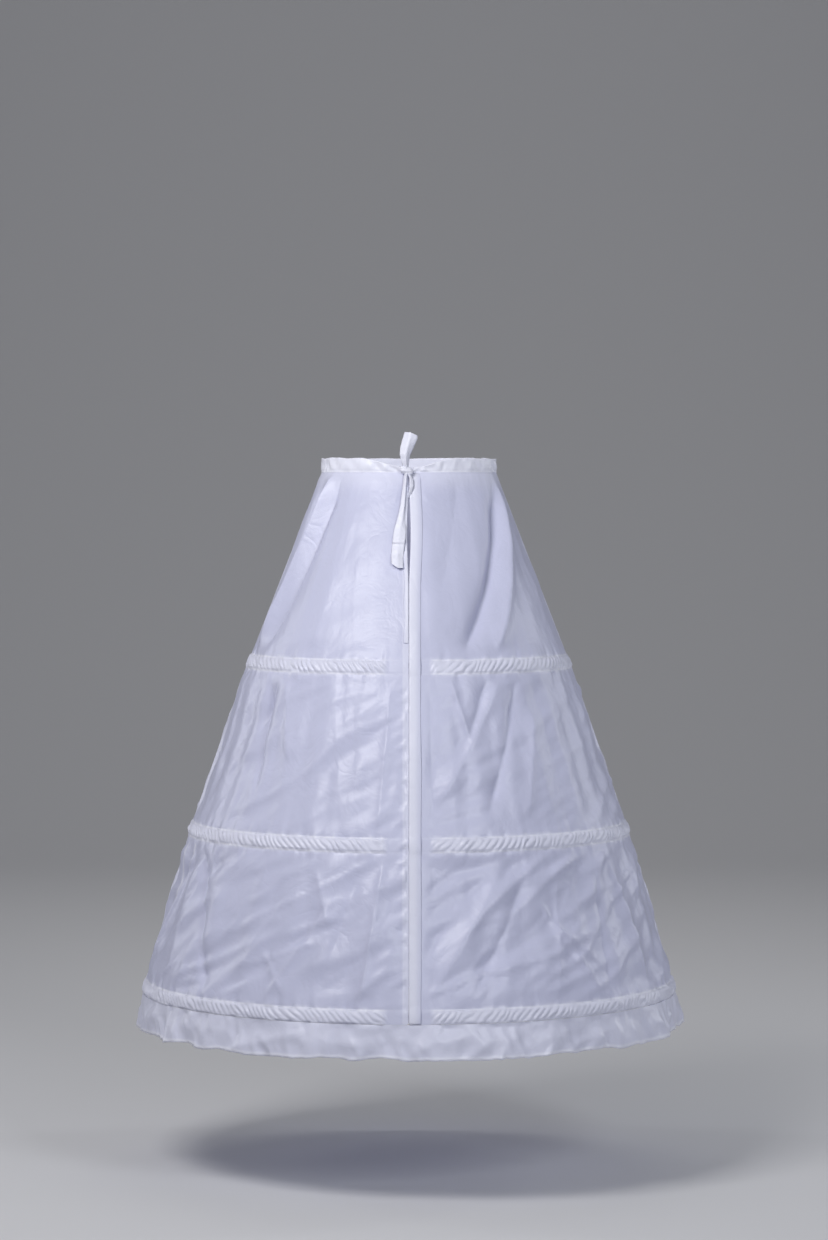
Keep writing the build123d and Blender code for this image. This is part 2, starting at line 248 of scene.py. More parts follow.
def makeCloth(name, look):
    finish = bpy.data.materials.new(name)
    finish.use_nodes = True
    nodes, links = finish.node_tree.nodes, finish.node_tree.links
    shader = nodes["Principled BSDF"]
    layers = nodes.new("ShaderNodeAttribute")
    layers.attribute_name = "doubled"
    tint = nodes.new("ShaderNodeMix")
    tint.data_type = "RGBA"
    tint.inputs["A"].default_value = (*look["single"], 1)
    tint.inputs["B"].default_value = (*look["doubled"], 1)
    links.new(layers.outputs["Fac"], tint.inputs["Factor"])
    place = nodes.new("ShaderNodeTexCoord")
    clouding = nodes.new("ShaderNodeTexNoise")
    clouding.inputs["Scale"].default_value = look["cloudSize"]
    clouding.inputs["Detail"].default_value = 2.0
    links.new(place.outputs["Object"], clouding.inputs["Vector"])
    shade = nodes.new("ShaderNodeMapRange")
    shade.inputs["To Min"].default_value = 1 - look["cloudShade"]
    shade.inputs["To Max"].default_value = 1 + look["cloudShade"]
    links.new(clouding.outputs["Fac"], shade.inputs["Value"])
    colour = nodes.new("ShaderNodeMix")
    colour.data_type = "RGBA"
    colour.blend_type = "MULTIPLY"
    colour.inputs["Factor"].default_value = 1.0
    links.new(tint.outputs["Result"], colour.inputs["A"])
    links.new(shade.outputs["Result"], colour.inputs["B"])
    links.new(colour.outputs["Result"], shader.inputs["Base Color"])
    gloss = nodes.new("ShaderNodeMapRange")
    gloss.inputs["To Min"].default_value = look["roughness"][0]
    gloss.inputs["To Max"].default_value = look["roughness"][1]
    links.new(clouding.outputs["Fac"], gloss.inputs["Value"])
    links.new(gloss.outputs["Result"], shader.inputs["Roughness"])
    shader.inputs["Sheen Weight"].default_value = look["sheen"]
    shader.inputs["Sheen Roughness"].default_value = look["sheenRoughness"]
    shader.inputs["Specular IOR Level"].default_value = look["specular"]
    seeThrough = nodes.new("ShaderNodeMapRange")
    seeThrough.inputs["To Min"].default_value = look["alpha"]
    seeThrough.inputs["To Max"].default_value = 1.0
    links.new(layers.outputs["Fac"], seeThrough.inputs["Value"])
    links.new(seeThrough.outputs["Result"], shader.inputs["Alpha"])
    weave = nodes.new("ShaderNodeGroup")
    weave.node_tree = weaveGroup
    weave.inputs["Ribs"].default_value = look["ribs"]
    crumple = nodes.new("ShaderNodeGroup")
    crumple.node_tree = crumpleGroup
    crumple.inputs["Size"].default_value = look["crumpleSize"]
    threadBump = nodes.new("ShaderNodeBump")
    threadBump.inputs["Strength"].default_value = look["threads"]
    threadBump.inputs["Distance"].default_value = look["threadHeight"]
    creaseBump = nodes.new("ShaderNodeBump")
    creaseBump.inputs["Strength"].default_value = look["crumple"]
    creaseBump.inputs["Distance"].default_value = look["crumpleHeight"]
    links.new(weave.outputs["Height"], threadBump.inputs["Height"])
    links.new(crumple.outputs["Height"], creaseBump.inputs["Height"])
    links.new(threadBump.outputs["Normal"], creaseBump.inputs["Normal"])
    links.new(creaseBump.outputs["Normal"], shader.inputs["Normal"])
    glow = nodes.new("ShaderNodeBsdfTranslucent")
    links.new(colour.outputs["Result"], glow.inputs["Color"])
    mix = nodes.new("ShaderNodeMixShader")
    mix.inputs["Fac"].default_value = look["translucent"]
    links.new(shader.outputs["BSDF"], mix.inputs[1])
    links.new(glow.outputs["BSDF"], mix.inputs[2])
    links.new(mix.outputs["Shader"], nodes["Material Output"].inputs["Surface"])
    return finish


taffetaLook = {
    "single": (0.58, 0.595, 0.77),
    "doubled": (0.82, 0.83, 0.945),
    "cloudSize": 9.0,
    "cloudShade": 0.05,
    "roughness": (0.31, 0.43),
    "sheen": 0.05,
    "sheenRoughness": 0.4,
    "specular": 0.42,
    "alpha": 0.985,
    "translucent": 0.1,
    "ribs": 900.0,
    "threads": 0.12,
    "threadHeight": 0.0002,
    "crumple": 0.55,
    "crumpleSize": 20.0,
    "crumpleHeight": 0.004,
}
ribbonLook = {
    **taffetaLook,
    "single": (0.72, 0.73, 0.84),
    "alpha": 1.0,
    "translucent": 0.15,
    "crumple": 0.5,
    "crumpleSize": 60.0,
}
tapeLook = {
    **taffetaLook,
    "single": (0.74, 0.75, 0.82),
    "alpha": 1.0,
    "ribs": 500.0,
    "crumple": 0.2,
    "crumpleSize": 30.0,
}
taffeta = makeCloth("whiteTaffeta", taffetaLook)
ribbonCloth = makeCloth("tieRibbon", ribbonLook)
tapeCloth = makeCloth("casingTapeCloth", tapeLook)


# white coat over spring steel, a little scuffed
hoopLook = {
    "colours": ((0.80, 0.80, 0.83, 1), (0.68, 0.68, 0.72, 1)),
    "roughness": (0.28, 0.5),
    "metallic": 0.0,
    "markScale": (45.0, 45.0, 45.0),
    "markDetail": 4.0,
}
# plated sleeves with fine drawn lines
joinerLook = {
    "colours": ((0.50, 0.51, 0.53, 1), (0.68, 0.69, 0.71, 1)),
    "roughness": (0.25, 0.42),
    "metallic": 1.0,
    "markScale": (60.0, 60.0, 2400.0),
    "markDetail": 2.0,
}


def makeSteel(name, look):
    finish = bpy.data.materials.new(name)
    finish.use_nodes = True
    nodes, links = finish.node_tree.nodes, finish.node_tree.links
    shader = nodes["Principled BSDF"]
    shader.inputs["Metallic"].default_value = look["metallic"]
    place = nodes.new("ShaderNodeTexCoord")
    stretch = nodes.new("ShaderNodeMapping")
    stretch.inputs["Scale"].default_value = look["markScale"]
    marks = nodes.new("ShaderNodeTexNoise")
    marks.inputs["Scale"].default_value = 1.0
    marks.inputs["Detail"].default_value = look["markDetail"]
    links.new(place.outputs["Object"], stretch.inputs["Vector"])
    links.new(stretch.outputs["Vector"], marks.inputs["Vector"])
    tint = nodes.new("ShaderNodeMix")
    tint.data_type = "RGBA"
    tint.inputs["A"].default_value, tint.inputs["B"].default_value = look["colours"]
    links.new(marks.outputs["Fac"], tint.inputs["Factor"])
    links.new(tint.outputs["Result"], shader.inputs["Base Color"])
    gloss = nodes.new("ShaderNodeMapRange")
    gloss.inputs["To Min"].default_value, gloss.inputs["To Max"].default_value = look["roughness"]
    links.new(marks.outputs["Fac"], gloss.inputs["Value"])
    links.new(gloss.outputs["Result"], shader.inputs["Roughness"])
    return finish


hoopCoat = makeSteel("coatedHoopSteel", hoopLook)
joinerSteel = makeSteel("platedJoinerSteel", joinerLook)
for hoopName in ("upper", "middle", "lower"):
    for nodeName, finish in ((f"hoop_{hoopName}", hoopCoat), (f"hoop_joiner_{hoopName}", joinerSteel)):
        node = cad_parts[nodeName]
        node.data.materials.clear()
        node.data.materials.append(finish)
print("finishes made")

# the four gores: a profile spun through a quarter turn, then hung as cloth
gore = {
    "columns": 80,
    "tierRows": (15, 13, 12),
    "channelRows": 4,
    "slitEase": 0.05,  # how far from the slit its gape dies out
    "rounding": 2,
    "foldDepth": 1.9,
    "foldSharpness": 1.25,
    "sway": 0.0022,
    "crease": 0.0062,
    "creaseSizes": ((0.105, 0.6), (0.052, 0.33), (0.024, 0.14)),  # size and share of each
    "creaseShares": (0.06, 0.44, 0.6),  # in the first tier, and added in each one below
    "flatUnderStrip": 0.016,
    "flatUnderBinding": 0.005,
    "flat": (0.72, 0.93),
    "area": 0.43,
}
hang = {
    "frames": 24,
    "fullness": 0.012,
    "tierSlack": (0.0, 0.8, 1.0),
    "tierMoves": (0.25, 0.9, 1.0),
    "mostMoved": 0.011,
    "stillAtBack": (0.012, 0.11),  # from here to there the moves grow
    "cloth": {
        "quality": 5,
        "mass": 0.12,
        "tension_stiffness": 25,
        "compression_stiffness": 25,
        "shear_stiffness": 12,
        "bending_stiffness": 12,
    },
}
gathers = {
    "pitch": 0.0115,
    "lean": 0.95,
    "puff": 0.0013,
    "crest": 0.0030,
    "wrinkle": 0.0019,
    "wrinkleReach": 0.013,
    "stitchPinch": 0.0011,
    "stitchWidth": 0.0017,
    "backStop": 0.031,
    "seamStop": 0.005,
    "stopFade": 0.012,
}
ruching = {"height": 0.0052, "reach": 0.017}
# folds of the cloth: turn and level at each end, width, depth, all in degrees and millimetres
goreFolds = {
    "backGoreLeft": [
        (213, -14, 197, -290, 14, 7.0), (222, -20, 204, -300, 17, -5.5), (204, -40, 190, -290, 10, -4.0),
        (240, -60, 232, -300, 40, 2.5), (268, -16, 262, -60, 5, 1.5),
        (216, -350, 222, -525, 9, -3.5), (224, -340, 232, -470, 16, 3.0), (219, -352, 216, -430, 10, -3.0),
        (245, -345, 252, -560, 26, 2.2), (264, -360, 262, -580, 9, 2.0),
        (206, -615, 221, -848, 12, -4.0), (199, -620, 186, -848, 7, 3.0), (195, -640, 183, -840, 9, -2.5),
        (265, -612, 228, -735, 5, 1.6), (231, -795, 250, -750, 4, 1.6), (236, -770, 243, -835, 6, 1.4),
        (264, -614, 260, -845, 9, 3.0), (258, -640, 250, -840, 14, -2.0), (252, -690, 238, -845, 5, 1.8),
        (247, -640, 252, -730, 9, 1.6), (240, -640, 231, -700, 8, 1.4),
    ],
    "backGoreRight": [
        (334, -40, 290, -302, 13, -8.0), (341, -36, 303, -302, 16, 7.0), (302, -20, 284, -200, 30, -2.0),
        (273, -16, 281, -60, 5, 1.8), (276, -90, 278, -300, 36, 2.2),
        (284, -340, 289, -440, 8, 2.2), (298, -338, 288, -440, 9, -3.0), (302, -342, 278, -535, 14, 3.0),
        (309, -345, 292, -550, 9, -3.2), (313, -400, 303, -560, 12, 2.4), (277, -345, 276, -570, 14, -1.5),
        (293, -636, 274, -838, 16, 3.4), (299, -650, 283, -842, 10, -2.6), (302, -690, 315, -838, 5, 1.8),
        (309, -640, 303, -840, 12, 2.2), (322, -650, 318, -845, 10, -2.4), (330, -640, 334, -845, 13, 2.2),
        (286, -800, 306, -770, 4, 1.6), (305, -735, 316, -790, 5, 1.6),
    ],
    "frontGoreLeft": [
        (160, -30, 150, -300, 17, -4.0), (140, -40, 128, -300, 20, 3.2), (112, -60, 108, -300, 22, -2.6),
        (150, -345, 158, -570, 12, 2.8), (122, -345, 116, -570, 14, -2.8), (136, -345, 128, -520, 9, 2.4),
        (158, -620, 150, -845, 11, -3.0), (120, -620, 132, -845, 12, 3.0), (104, -640, 110, -840, 9, -2.0),
        (140, -700, 122, -780, 5, 1.6), (112, -700, 126, -800, 5, 1.6),
    ],
    "frontGoreRight": [
        (22, -30, 34, -300, 17, -4.0), (44, -40, 56, -300, 20, 3.2), (70, -60, 74, -300, 22, -2.6),
        (30, -345, 22, -570, 12, 2.8), (60, -345, 66, -570, 14, -2.8), (48, -345, 56, -520, 9, 2.4),
        (20, -620, 30, -845, 11, -3.0), (62, -620, 50, -845, 12, 3.0), (78, -640, 72, -840, 9, -2.0),
        (40, -700, 58, -780, 5, 1.6), (68, -700, 54, -800, 5, 1.6),
    ],
}
# seams that show through as paler lines: turn and level at each end, width
seamLines = {"backGoreLeft": [(198.5, -618, 185.0, -852, 3.2), (193.0, -618, 183.5, -852, 2.2)]}


def goreLevels():
    levels = []
    for tier, channel, tierRows in zip(skirt["tiers"], skirt["channels"], gore["tierRows"]):
        for (top, bottom), rows in ((tier, tierRows), (channel, gore["channelRows"])):
            levels.extend(top + (bottom - top) * row / rows for row in range(rows))
    levels.append(skirt["channels"][-1][1])
    return levels


def spinGore(startDegrees, side):
    bm = bmesh.new()
    line = []
    for z in goreLevels():
        line.append(bm.verts.new((halfAxes(z)[0], 0, z)))
    for upper, lower in zip(line, line[1:]):
        bm.edges.new((upper, lower))
    startTurn, quarter = math.radians(startDegrees), math.radians(90)
    bmesh.ops.rotate(bm, verts=bm.verts[:], matrix=Matrix.Rotation(startTurn, 3, "Z"))
    shape = bm.verts[:] + bm.edges[:]
    bmesh.ops.spin(bm, geom=shape, cent=(0, 0, 0), axis=(0, 0, 1), angle=quarter, steps=gore["columns"])
    for vert in bm.verts:  # the waist is an oval, and the slit gapes
        halfWidth, halfDepth = halfAxes(vert.co.z)
        vert.co.y *= halfDepth / halfWidth
        if startDegrees >= 180:
            near = max(0.0, 1 - abs(vert.co.x) / gore["slitEase"])
            vert.co.x -= side * near * float(slitEdge(vert.co.z))
    bmesh.ops.recalc_face_normals(bm, faces=bm.faces[:])
    middle = bm.faces[len(bm.faces) // 2]
    outward = middle.calc_center_median()
    if middle.normal.x * outward.x + middle.normal.y * outward.y < 0:
        bmesh.ops.reverse_faces(bm, faces=bm.faces[:])
    return bm


def hangCloth(piece):  # a short cloth simulation between the sewn lines
    places = readPlaces(piece.data)
    columns = gore["columns"]
    nearRow, nearSeam = 0.0005, 0.6  # in metres, and in columns
    sewn = piece.vertex_groups.new(name="sewn")
    z = places[:, 2]
    held = z > skirt["tiers"][0][0] - 2 * nearRow
    for top, bottom in skirt["channels"]:
        held |= (z < top + nearRow) & (z > bottom - nearRow)
    halfWidth, halfDepth = halfAxes(z)
    turnDegrees = np.degrees(np.arctan2(places[:, 1] / halfDepth, places[:, 0] / halfWidth))
    column = (turnDegrees % 90) / 90 * columns
    held |= (column < nearSeam) | (column > columns - nearSeam)
    sewn.add([int(i) for i in np.nonzero(held)[0]], 1.0, "REPLACE")
    slack = piece.vertex_groups.new(name="slack")
    for (tierTop, tierBottom), most in zip(skirt["tiers"], hang["tierSlack"]):
        tierShare = (tierTop - z) / (tierTop - tierBottom)
        for i in np.nonzero((tierShare > 0) & (tierShare < 1))[0]:
            slack.add([int(i)], float(most * math.sin(math.pi * tierShare[i])), "REPLACE")
    modifier = piece.modifiers.new("hang", "CLOTH")
    settings = modifier.settings
    for setting, value in hang["cloth"].items():
        setattr(settings, setting, value)
    settings.vertex_group_mass = "sewn"
    settings.vertex_group_shrink = "slack"
    settings.shrink_min = 0.0
    settings.shrink_max = -hang["fullness"]
    modifier.collision_settings.use_collision = False
    scene = bpy.context.scene
    for step in range(1, hang["frames"] + 1):
        scene.frame_set(step)
    applyModifiers(piece)
    scene.frame_set(1)
    piece.vertex_groups.clear()
    moved = readPlaces(piece.data) - places
    reach = np.linalg.norm(moved, axis=1, keepdims=True)
    moved *= np.minimum(1, hang["mostMoved"] / np.maximum(reach, 1e-9))
    fromBack = np.where(places[:, 1] < 0, np.abs(places[:, 0]), 1)
    moved *= smoothStep(*hang["stillAtBack"], fromBack)[:, None]
    for (tierTop, tierBottom), tierMove in zip(skirt["tiers"], hang["tierMoves"]):
        moved[(z < tierTop) & (z > tierBottom)] *= tierMove
    writePlaces(piece.data, places + moved)
    print(piece.name, "hung, moved up to", round(float(reach.max()) * 1000, 1), "mm")


def foldRelief(folds, turnDegrees, z):
    out = np.zeros_like(z)
    halfWidth = halfAxes(z)[0]
    for topTurn, topLevel, bottomTurn, bottomLevel, width, depth in folds:
        highTurn, lowTurn, high, low = topTurn, bottomTurn, topLevel / 1000, bottomLevel / 1000
        if low > high:
            highTurn, lowTurn, high, low = lowTurn, highTurn, low, high
        share = (high - z) / (high - low)
        centre = highTurn + (lowTurn - highTurn) * share
        across = np.radians(lowTurn - highTurn) * float(halfAxes((high + low) / 2)[0])
        upright = (high - low) / math.hypot(high - low, across)
        away = np.radians(turnDegrees - centre) * halfWidth * upright * 1000
        ends = smoothStep(-0.08, 0.18, share) * smoothStep(1.08, 0.82, share)  # dies out at both
        profile = np.exp(-np.abs(away / width) ** gore["foldSharpness"])
        out += gore["foldDepth"] * depth / 1000 * profile * ends
    return out


def creaseRelief(along, z, seed):  # crossing crisp creases, from broad to small, about -1 to 1
    out = np.zeros_like(z)
    tilt, cross = along * 0.85 + z * 0.53, z * 0.85 - along * 0.53
    for octave, (size, height) in enumerate(gore["creaseSizes"]):
        bend = 0.6 * latticeNoise(cross / size / 1.6, tilt / size / 1.6, seed + 3 * octave)
        valley = np.abs(latticeNoise(tilt / size + bend, cross / size / 1.5, seed + 3 * octave + 1))
        out += height * (1 - 2.6 * valley)
        tilt, cross = cross, -tilt  # each size crosses the one before
    return out


def channelRelief(turn, z, edges, side, seed):  # leaning gathers, wrinkles and stitched rows
    out = np.zeros_like(z)
    layers = np.zeros_like(z)
    for index, (top, bottom) in enumerate(skirt["channels"]):
        middle, half = (top + bottom) / 2, (top - bottom) / 2
        radius = float(halfAxes(middle)[0])
        along = turn * radius
        waver = 0.0011 * latticeNoise(along / 0.013, 8.5 + index, seed + 80)
        waver += 0.0007 * latticeNoise(along / 0.006, 4.5 + index, seed + 81)
        height = (middle - z + waver) / half
        gathered = np.ones_like(z)
        for edgeTurn, stop in edges:
            away = np.abs(turn - edgeTurn) * radius
            gathered *= smoothStep(stop, stop + gathers["stopFade"], away)
        warp = 0.9 * latticeNoise(along / 0.05, z / 0.08, seed + index)
        warp += 0.34 * latticeNoise(along / 0.016, z / 0.02, seed + 7 + index)
        phase = (along - side * gathers["lean"] * (middle - z)) / gathers["pitch"] + warp
        ridge = np.abs(np.sin(np.pi * phase)) ** 0.8
        size = 0.8 + 0.6 * latticeNoise(along / 0.017, z / 0.012 + index, seed + 20)
        bulge = np.clip(1 - height * height, 0, 1) ** 0.6
        crest = gathers["crest"] * gathered * ridge * size
        out += bulge * (gathers["puff"] * (0.2 + 0.8 * gathered) + crest)
        outside = np.where(z > middle, z - top, bottom - z)
        bend = 0.4 * latticeNoise(z / 0.02, 0.5, seed + 31)
        wrinkle = latticeNoise(along / 0.0105 + bend, z / 0.05, seed + 40 + index)
        wrinkle += 0.6 * latticeNoise(along / 0.023, z / 0.06, seed + 50 + index)
        reach = np.exp(-np.clip(outside, 0, None) / gathers["wrinkleReach"]) * (outside > -0.002)
        out += gathers["wrinkle"] * gathered * wrinkle * reach
        for row in (top, bottom):
            pinch = np.exp(-((z - row) / gathers["stitchWidth"]) ** 2)
            out -= gathers["stitchPinch"] * pinch * (0.25 + 0.75 * gathered)
        rows = np.exp(-((np.abs(height) - 1.0) / 0.16) ** 2) * (0.2 + 0.75 * gathered)
        tube = smoothStep(1.2, 0.95, np.abs(height)) * (0.1 + 0.45 * gathered)
        layers = np.maximum(layers, np.maximum(tube, rows))
    return out, layers


def dressGore(piece, startDegrees, side, seed):
    mesh = piece.data
    places = readPlaces(mesh)
    z = places[:, 2].copy()
    halfWidth, halfDepth = halfAxes(z)
    turn = np.arctan2(places[:, 1] / halfDepth, places[:, 0] / halfWidth) % (2 * np.pi)
    start, end = math.radians(startDegrees), math.radians(startDegrees + 90)
    turn = np.where(turn < start - 0.5, turn + 2 * np.pi, turn)
    turn = np.where(turn > end + 0.5, turn - 2 * np.pi, turn)
    backTurn = {180: end, 270: start}.get(startDegrees)
    edges = []
    for edgeTurn in (start, end):
        edges.append((edgeTurn, gathers["backStop"] if edgeTurn == backTurn else gathers["seamStop"]))
    relief, layers = channelRelief(turn, z, edges, side, seed)
    quiet = np.ones_like(z)  # 0 on the sewn rows, 1 half way between them
    for top, bottom in skirt["channels"]:
        outside = np.maximum(z - top, bottom - z)
        quiet *= smoothStep(0.0, 0.03, outside)
    quiet *= smoothStep(0.0, 0.014, skirt["tiers"][0][0] - z)
    along = turn * halfWidth
    folds = foldRelief(goreFolds[piece.name], np.degrees(turn), z)
    sway = gore["sway"] * latticeNoise(along / 0.11, z / 0.16, seed + 60)
    upper, middle, lower = gore["creaseShares"]
    crumpled = upper + middle * smoothStep(-0.32, -0.36, z) + lower * smoothStep(-0.59, -0.63, z)
    bends = folds + sway + gore["crease"] * crumpled * creaseRelief(along, z, seed + 61)
    if backTurn is not None:  # flat under the strip and the bound edge
        flatTo = gore["flatUnderStrip"] if side < 0 else gore["flatUnderBinding"]
        bends *= smoothStep(flatTo, flatTo + 0.03, np.abs(places[:, 0]))
    relief += quiet * bends
    if backTurn is not None and side > 0:  # ruching along the centre back seam
        away = np.abs(places[:, 0])
        ruche = latticeNoise((z + 0.5 * away) / 0.009, away / 0.04, seed + 70)
        ruche += 0.7 * latticeNoise((z + 0.9 * away) / 0.024, away / 0.03, seed + 71)
        reach = np.exp(-away / ruching["reach"]) * smoothStep(0.001, 0.005, away)
        below = smoothStep(-0.33, -0.38, z) * smoothStep(-0.86, -0.84, z)  # from the first hoop down
        relief += ruching["height"] * ruche * reach * below
    edgeAway = np.minimum(np.abs(turn - start), np.abs(end - turn)) * halfWidth
    relief *= smoothStep(0.0, 0.007, edgeAway)
    lean = flare(z)
    run = np.sqrt(1 + lean * lean)
    normal = np.stack((np.cos(turn) / run, np.sin(turn) / run, lean / run), axis=-1)
    writePlaces(mesh, places + normal * relief[:, None])
    layers = np.maximum(layers, 0.4 * smoothStep(0.011, 0.009, edgeAway))
    for topTurn, topLevel, bottomTurn, bottomLevel, width in seamLines.get(piece.name, []):
        share = (topLevel / 1000 - z) / (topLevel - bottomLevel) * 1000
        away = np.radians(np.degrees(turn) - topTurn - (bottomTurn - topTurn) * share) * halfWidth * 1000
        within = (share > 0) & (share < 1)
        layers = np.maximum(layers, 0.85 * np.exp(-(away / width) ** 2) * within)
    layers = np.maximum(layers, 0.3 * smoothStep(-0.05, -0.015, z))
    writeLayers(mesh, layers)
    writeUnrolled(mesh, along, -z)


# each gore: piece, node, start of its quarter turn, way its gathers lean, noise seed
goreList = [
    ("backGoreLeft", "back_panel_left", 180, 1, 11),
    ("backGoreRight", "back_panel_right", 270, -1, 23),
    ("frontGoreLeft", "front_panel_left", 90, 1, 37),
    ("frontGoreRight", "front_panel_right", 0, -1, 41),
]
for goreName, nodeName, startDegrees, side, seed in goreList:
    piece = addPiece(goreName, spinGore(startDegrees, side), taffeta, [nodeName])
    hangCloth(piece)
    addRounding(piece, gore["rounding"])
    applyModifiers(piece)
    dressGore(piece, startDegrees, side, seed)
    print(goreName, "dressed,", len(piece.data.polygons), "faces")

# waistband: a flat tube of cloth on the drawstring, pulled down to the tie at the centre back
band = {
    "height": 0.025,
    "thickness": 0.005,
    "halfWidth": 0.145,
    "halfDepth": 0.108,
    "meanRadius": 0.128,
    "rounding": 0.0019,
    "longestEdge": 0.004,
    "openingTurn": 2.6,
    "steps": 420,
    "dipDepth": 0.015,
    "dipHalfWidth": 0.078,
    "pucker": 0.0021,
    "stitchDepth": 0.0006,
    "stitchLevel": 0.004,
    "flat": (0.80, 0.032),
}


def makeBand():
    bm = bmesh.new()
    half, deep = band["height"] / 2, band["thickness"]
    outline = [(0, -half), (0, -half * 0.35), (0, half * 0.35), (0, half)]
    outline += [(-deep, half), (-deep, 0), (-deep, -half)]
    ring = [bm.verts.new((band["halfWidth"] + out, 0, z)) for out, z in outline]
    for first, second in zip(ring, ring[1:] + ring[:1]):
        bm.edges.new((first, second))
    corners = [ring[0], ring[3], ring[4], ring[6]]
    bmesh.ops.bevel(bm, geom=corners, offset=band["rounding"], offset_type="OFFSET",
                    segments=4, profile=0.5, affect="VERTICES", material=-1)
    longEdges = [e for e in bm.edges if e.calc_length() > band["longestEdge"]]
    bmesh.ops.subdivide_edges(bm, edges=longEdges, cuts=2, use_grid_fill=True)
    opening = math.radians(band["openingTurn"])
    bmesh.ops.rotate(bm, verts=bm.verts[:], matrix=Matrix.Rotation(math.radians(270) + opening, 3, "Z"))
    whole = 2 * math.pi - 2 * opening
    shape = bm.verts[:] + bm.edges[:]
    bmesh.ops.spin(bm, geom=shape, cent=(0, 0, 0), axis=(0, 0, 1), angle=whole, steps=band["steps"])
    bmesh.ops.holes_fill(bm, edges=[e for e in bm.edges if e.is_boundary], sides=0)
    bmesh.ops.recalc_face_normals(bm, faces=bm.faces[:])
    for vert in bm.verts:
        turn = math.atan2(vert.co.y, vert.co.x)
        inset = band["halfWidth"] - math.hypot(vert.co.x, vert.co.y)
        high = vert.co.z / half  # -1 at the lower edge, 1 at the upper
        x = (band["halfWidth"] - inset) * math.cos(turn)
        y = (band["halfDepth"] - inset) * math.sin(turn)
        atBack = y < 0
        dip = 0.0
        if atBack:
            share = min(1.0, abs(x) / band["dipHalfWidth"])
            dip = (1 - share) ** 1.6 * (1 + 1.6 * share) * band["dipDepth"]
        z = -half + (vert.co.z + half) * (2 * half - dip) / (2 * half)
        along = turn * band["meanRadius"]
        noise = float(latticeNoise(along / 0.013 + 0.6 * high, high * 0.6, 91))
        noise += 0.5 * float(latticeNoise(along / 0.006 - 0.4 * high, high * 0.8, 92))
        z += 0.0011 * float(latticeNoise(along / 0.02, 0.5, 93)) * (0.5 + 0.5 * high)
        z -= 0.0016 * math.exp(-abs(abs(x) - 0.140) / 0.008) * (0.5 + 0.5 * high)
        nearTie = math.exp(-abs(x) / 0.035) * atBack
        nearSide = math.exp(-abs(abs(x) - 0.142) / 0.012)
        strength = band["pucker"] * (0.7 + 1.1 * nearTie + 0.7 * nearSide)
        fromStitches = vert.co.z + half - band["stitchLevel"]
        stitches = band["stitchDepth"] * math.exp(-(fromStitches / 0.0013) ** 2)
        out = noise * strength * (1 - 0.55 * high * high) - stitches
        if inset > deep / 2:  # the inner wall moves less, the other way
            out *= -0.4
        vert.co = (x + out * math.cos(turn), y + out * math.sin(turn), z)
    return bm


bandPiece = addPiece("waistTube", makeBand(), taffeta, ["waistband"])
addRounding(bandPiece, 1)
applyModifiers(bandPiece)
bandPlaces = readPlaces(bandPiece.data)
bandTurn = np.arctan2(bandPlaces[:, 1], bandPlaces[:, 0])
writeLayers(bandPiece.data, np.full(len(bandPlaces), 0.95))
writeUnrolled(bandPiece.data, bandTurn * band["meanRadius"], -bandPlaces[:, 2])
print("waistband made")

# the felled strip right of the centre back, and the bound edge left of the slit
strip = {
    "side": 1,
    "top": -0.0135,
    "bottom": -0.8725,
    "width": 0.0195,
    "wander": 0.05,
    "rise": 0.0011,
    "thickness": 0.0003,
    "rows": 300,
    "columns": 12,
    "seed": 101,
    "flat": (0.02, 0.92),
}
binding = {
    "side": -1,
    "top": -0.0135,
    "bottom": -0.286,
    "width": 0.0075,
    "wander": 0.12,
    "rise": 0.0012,
    "thickness": 0.0003,
    "rows": 110,
    "columns": 8,
    "seed": 111,
    "flat": (0.01, 0.29),
}
channelStep = {"height": 0.0016, "halfLength": 0.014}  # how both rise over a hoop channel


def makeStrip(size):
    seed = size["seed"]
    bm = bmesh.new()
    bmesh.ops.create_grid(bm, x_segments=size["columns"], y_segments=size["rows"], size=0.5)
    for vert in bm.verts:
        across, down = vert.co.x + 0.5, 0.5 - vert.co.y
        z = size["top"] + (size["bottom"] - size["top"]) * down
        edge = float(slitEdge(z)) + 0.0002  # just clear of the gore's own edge
        width = size["width"] * (1 + size["wander"] * float(latticeNoise(down * 9, 1.5, seed)))
        away = edge + width * across
        halfWidth = float(halfAxes(z)[0])
        turn = math.radians(270) + size["side"] * math.asin(away / halfWidth)
        belly = math.sin(math.pi * min(1, max(0, across))) ** 0.4
        out = size["rise"] * (0.4 + 0.6 * belly) * (1 - 0.45 * across)
        out += 0.0004 * float(latticeNoise(z / 0.011, across * 1.2, seed + 1)) * (1 - across)
        out += 0.0003 * float(latticeNoise(z / 0.04, across * 1.4, seed + 2))
        for channelTop, channelBottom in skirt["channels"]:
            height = ((channelTop + channelBottom) / 2 - z) / channelStep["halfLength"]
            out += channelStep["height"] * max(0.0, 1 - height * height)
        vert.co = onCloth(turn, z, out)
    bmesh.ops.recalc_face_normals(bm, faces=bm.faces[:])
    middle = bm.faces[len(bm.faces) // 2]
    if middle.normal.y > 0:
        bmesh.ops.reverse_faces(bm, faces=bm.faces[:])
    return bm


def addStrip(name, nodeName, size):
    piece = addPiece(name, makeStrip(size), taffeta, [nodeName])
    places = readPlaces(piece.data)
    share = (np.abs(places[:, 0]) - slitEdge(places[:, 2])) / size["width"]
    writeLayers(piece.data, 0.75 - 0.6 * smoothStep(0.35, 1.0, share))  # palest along the seam
    writeUnrolled(piece.data, places[:, 0], -places[:, 2])
    addThickness(piece, size["thickness"])


addStrip("seamStrip", "back_seam_strip", strip)
addStrip("slitBinding", "placket_binding", binding)
print("seam strip and slit binding made")

